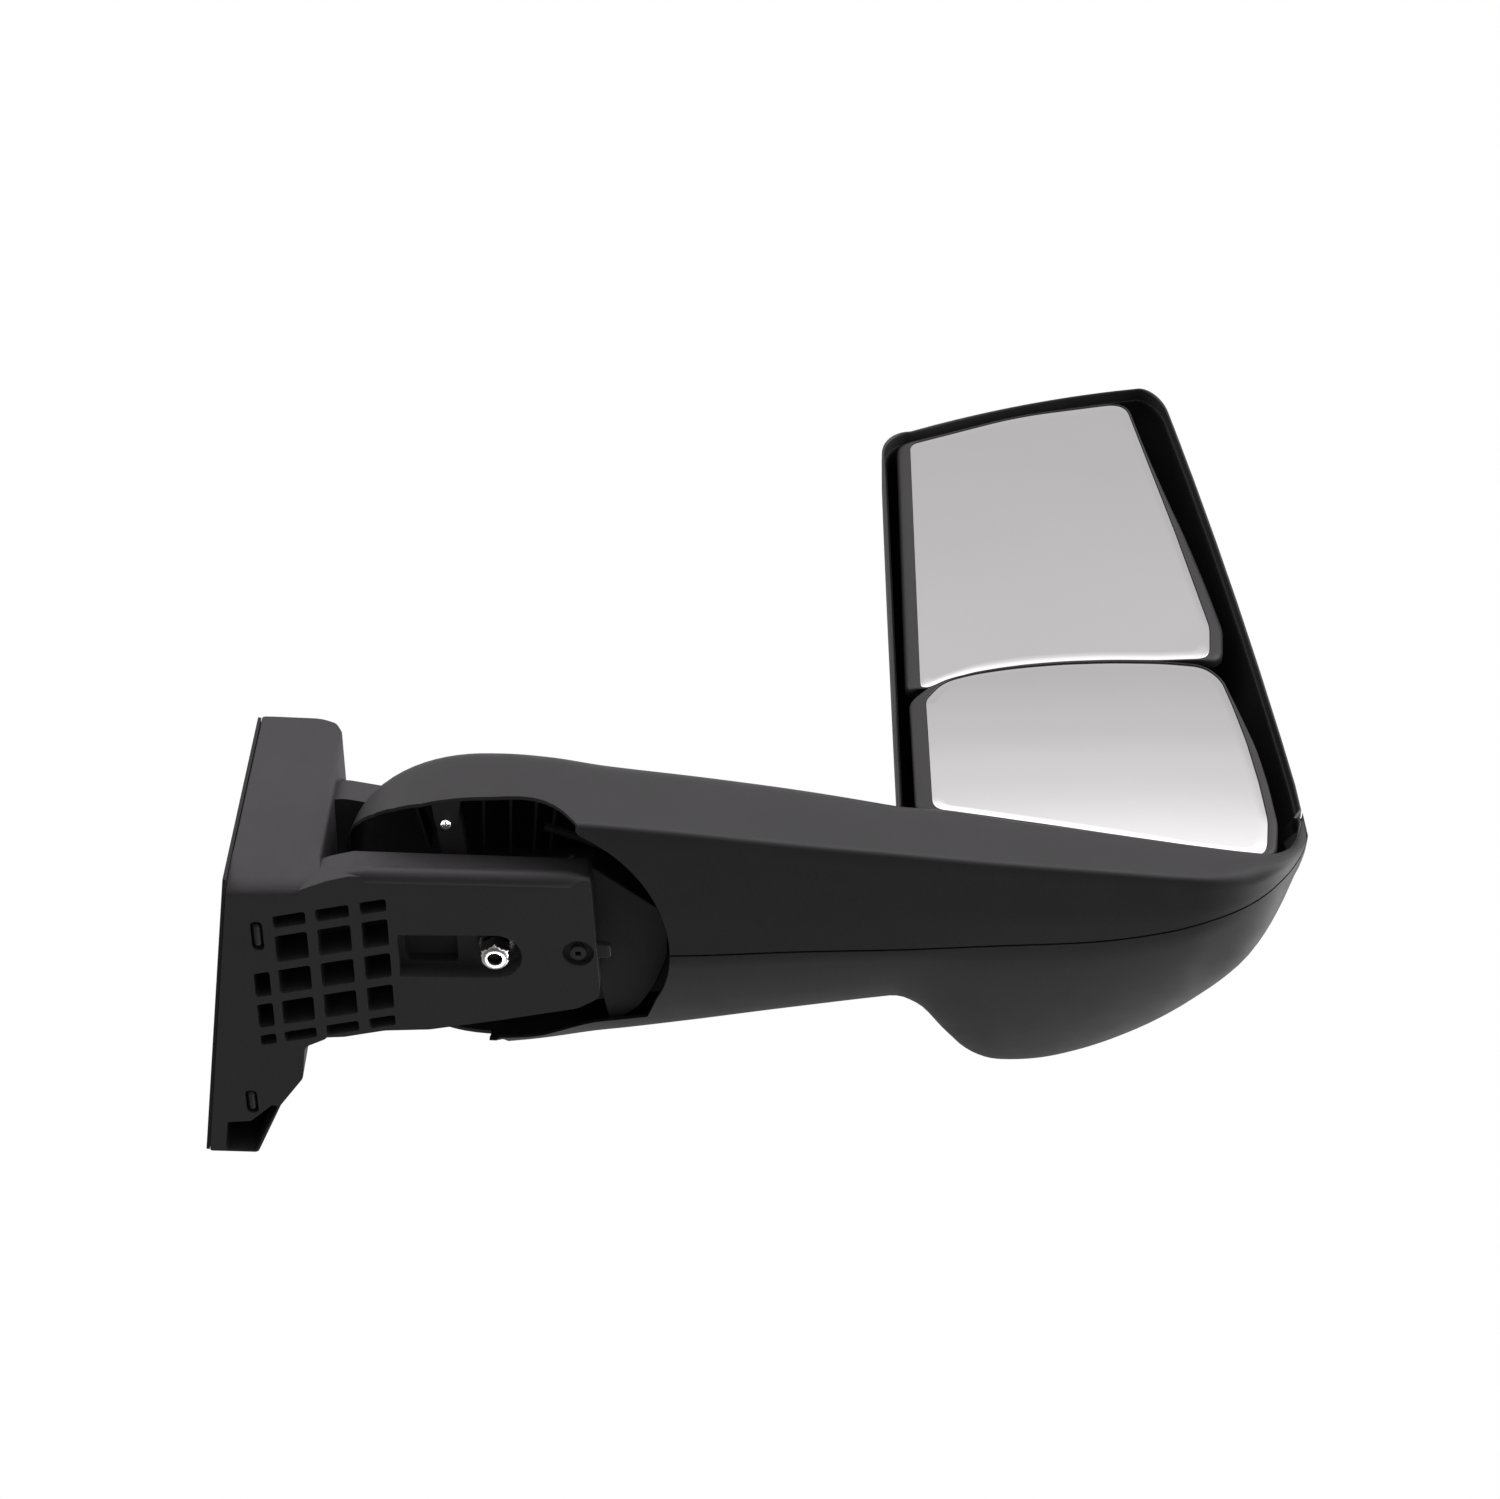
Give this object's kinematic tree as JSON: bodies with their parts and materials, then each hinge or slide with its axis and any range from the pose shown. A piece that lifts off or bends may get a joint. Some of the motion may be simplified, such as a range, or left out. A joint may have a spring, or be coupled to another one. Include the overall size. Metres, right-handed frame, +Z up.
{
  "type": "car side mirror",
  "caption": "Large door mirror on a folding arm: bolt-on bracket, vertical fold pivot, tall head with powered flat main glass above a wide-angle convex glass.",
  "frame": {"origin": "on the face that bolts to the door, level with the fold pivot and at mid-height of the root block", "axes": "+X outboard along the arm, -Y to the rear of the vehicle (the glass looks that way), +Z up"},
  "size_m": [0.814, 0.3136, 0.6214],
  "materials": {
    "grained_plastic": "black moulded plastic with a fine grain",
    "cast_black": "black powder-coated aluminium casting",
    "inner_plastic": "smooth black plastic",
    "mirror_glass": "silvered mirror glass",
    "zinc_steel": "zinc-plated steel",
    "bright_steel": "bare machined steel",
    "bronze": "sintered bronze",
    "white_plastic": "natural acetal plastic",
    "seal_rubber": "black rubber",
    "heater_film": "amber heater film",
    "brass": "machined brass",
    "frame_metal": "grey die-cast aluminium"
  },
  "bodies": {
    "base": {"door_bracket": "cast_black", "door_gasket": "seal_rubber", "threaded_insert_1": "brass", "threaded_insert_2": "brass", "threaded_insert_3": "brass", "locating_pin_1": "zinc_steel", "locating_pin_2": "zinc_steel", "pivot_shaft": "bright_steel", "pivot_washer": "zinc_steel", "pivot_nut": "zinc_steel", "top_washer": "zinc_steel", "top_nut": "zinc_steel", "detent_plate": "bright_steel", "disc_spring_1": "bright_steel", "disc_spring_2": "bright_steel", "spring_seat": "zinc_steel", "retaining_clip": "bright_steel"},
    "arm": {"arm_core": "cast_black", "cam_ring": "bright_steel", "hub_bush_lower": "bronze", "hub_bush_upper": "bronze", "rear_arm_cover": "grained_plastic", "front_arm_cover": "grained_plastic", "cover_screw": "zinc_steel", "head_frame": "frame_metal", "frame_bolt_1": "zinc_steel", "frame_bolt_2": "zinc_steel", "frame_bolt_3": "zinc_steel", "frame_bolt_4": "zinc_steel", "head_housing": "grained_plastic", "head_bezel": "grained_plastic", "actuator_case": "inner_plastic", "actuator_lid": "inner_plastic", "tilt_motor": "bright_steel", "pan_motor": "bright_steel", "tilt_worm": "brass", "pan_worm": "brass", "actuator_screw_1": "zinc_steel", "actuator_screw_2": "zinc_steel", "wide_mount": "inner_plastic", "wide_mount_screw_1": "zinc_steel", "wide_mount_screw_2": "zinc_steel", "wire_harness": "seal_rubber", "harness_plug": "inner_plastic"},
    "main_gimbal": {"main_gimbal_ring": "white_plastic"},
    "main_mirror": {"main_glass_carrier": "inner_plastic", "main_heater_pad": "heater_film", "main_glass": "mirror_glass"},
    "tilt_jack": {"tilt_jackscrew": "white_plastic"},
    "pan_jack": {"pan_jackscrew": "white_plastic"},
    "tilt_wheel": {"tilt_nut_wheel": "white_plastic"},
    "pan_wheel": {"pan_nut_wheel": "white_plastic"},
    "wide_gimbal": {"wide_gimbal_ring": "white_plastic"},
    "wide_mirror": {"wide_glass_carrier": "inner_plastic", "wide_heater_pad": "heater_film", "wide_glass": "mirror_glass"}
  },
  "joints": [
    {"name": "arm_fold", "type": "hinge", "parent": "base", "child": "arm", "pos_m": [0.2, 0, -0.04], "axis": [0, 0, 1], "range_deg": [-60, 15]},
    {"name": "main_tilt", "type": "hinge", "parent": "arm", "child": "main_gimbal", "pos_m": [0.622, -0.083, 0.32399], "axis": [1, 0, 0], "range_deg": [-7, 7]},
    {"name": "main_pan", "type": "hinge", "parent": "main_gimbal", "child": "main_mirror", "pos_m": [0.622, -0.083, 0.32399], "axis": [0, -0.1045, 0.9945], "range_deg": [-7, 7]},
    {"name": "tilt_jack_slide", "type": "slide", "parent": "arm", "child": "tilt_jack", "axis": [0, 0.9945, 0.1045], "range_m": [-0.006, 0.006]},
    {"name": "pan_jack_slide", "type": "slide", "parent": "arm", "child": "pan_jack", "axis": [0, 0.9945, 0.1045], "range_m": [-0.006, 0.006]},
    {"name": "tilt_wheel_spin", "type": "hinge", "parent": "arm", "child": "tilt_wheel", "pos_m": [0.622, -0.06315, 0.37434], "axis": [0, 0.9945, 0.1045], "range_deg": [-355, 355]},
    {"name": "pan_wheel_spin", "type": "hinge", "parent": "arm", "child": "pan_wheel", "pos_m": [0.67, -0.05814, 0.3266], "axis": [0, 0.9945, 0.1045], "range_deg": [-355, 355]},
    {"name": "wide_tilt", "type": "hinge", "parent": "arm", "child": "wide_gimbal", "pos_m": [0.64, -0.0586, 0.05357], "axis": [1, 0, 0], "range_deg": [-7, 7]},
    {"name": "wide_pan", "type": "hinge", "parent": "wide_gimbal", "child": "wide_mirror", "pos_m": [0.64, -0.0586, 0.05357], "axis": [0, -0.1045, 0.9945], "range_deg": [-7, 7]}
  ],
  "couplings": [
    {"joint": "tilt_jack_slide", "follows": "main_tilt", "m_per_rad": -0.048},
    {"joint": "pan_jack_slide", "follows": "main_pan", "m_per_rad": 0.048},
    {"joint": "tilt_wheel_spin", "follows": "main_tilt", "ratio": -50.266},
    {"joint": "pan_wheel_spin", "follows": "main_pan", "ratio": 50.266}
  ]
}
